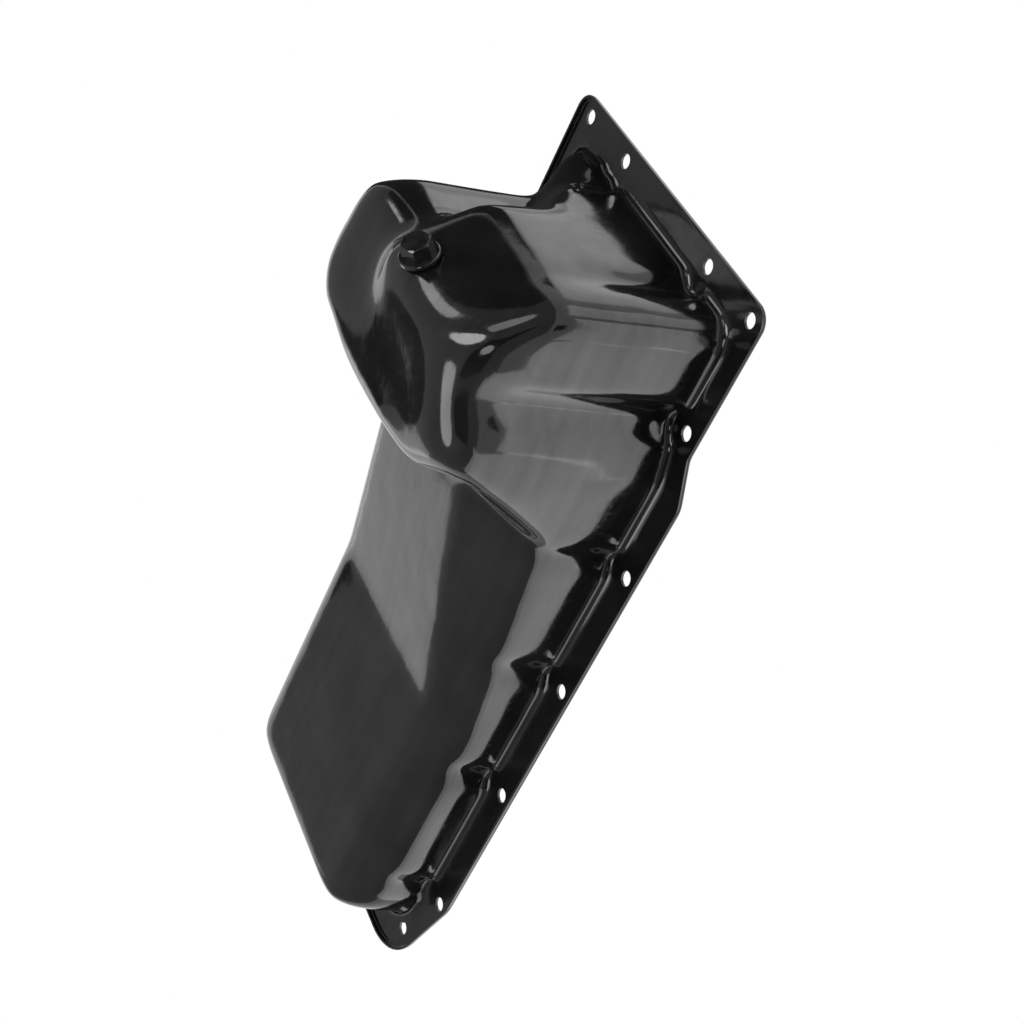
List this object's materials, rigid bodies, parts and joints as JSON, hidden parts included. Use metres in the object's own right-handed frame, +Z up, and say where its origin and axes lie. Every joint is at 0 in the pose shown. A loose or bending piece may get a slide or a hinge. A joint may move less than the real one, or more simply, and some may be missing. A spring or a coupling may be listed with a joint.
{
  "type": "engine oil pan",
  "caption": "Stamped steel engine oil pan with a bolting flange, shallow front tub, ramped floor, deep rear sump and a screwed drain plug.",
  "frame": {"origin": "middle of the rear bolt row, on the flange face that meets the engine block", "axes": "+X to the rear, the deep end; +Y to the left side; +Z up towards the engine, square to the flange face"},
  "size_m": [0.544, 0.262, 0.1555],
  "materials": {
    "black_enamel": "glossy black enamel",
    "nut_enamel": "glossy black enamel",
    "seal_rubber": "matt black",
    "plug_black": "satin black"
  },
  "bodies": {
    "pan": {"oil_pan": "black_enamel", "weld_nut": "nut_enamel"},
    "washer": {"plug_washer": "seal_rubber"},
    "plug": {"drain_plug": "plug_black"}
  },
  "joints": [
    {"name": "plug_travel", "type": "slide", "parent": "pan", "child": "washer", "axis": [0.788, 0, -0.6157], "range_m": [0, 0.012]},
    {"name": "plug_turn", "type": "hinge", "parent": "washer", "child": "plug", "pos_m": [-0.05, 0.005, -0.141], "axis": [0.788, 0, -0.6157], "range_deg": [0, 2890]}
  ],
  "couplings": [
    {"joint": "plug_turn", "follows": "plug_travel", "rad_per_m": 4188.8}
  ]
}
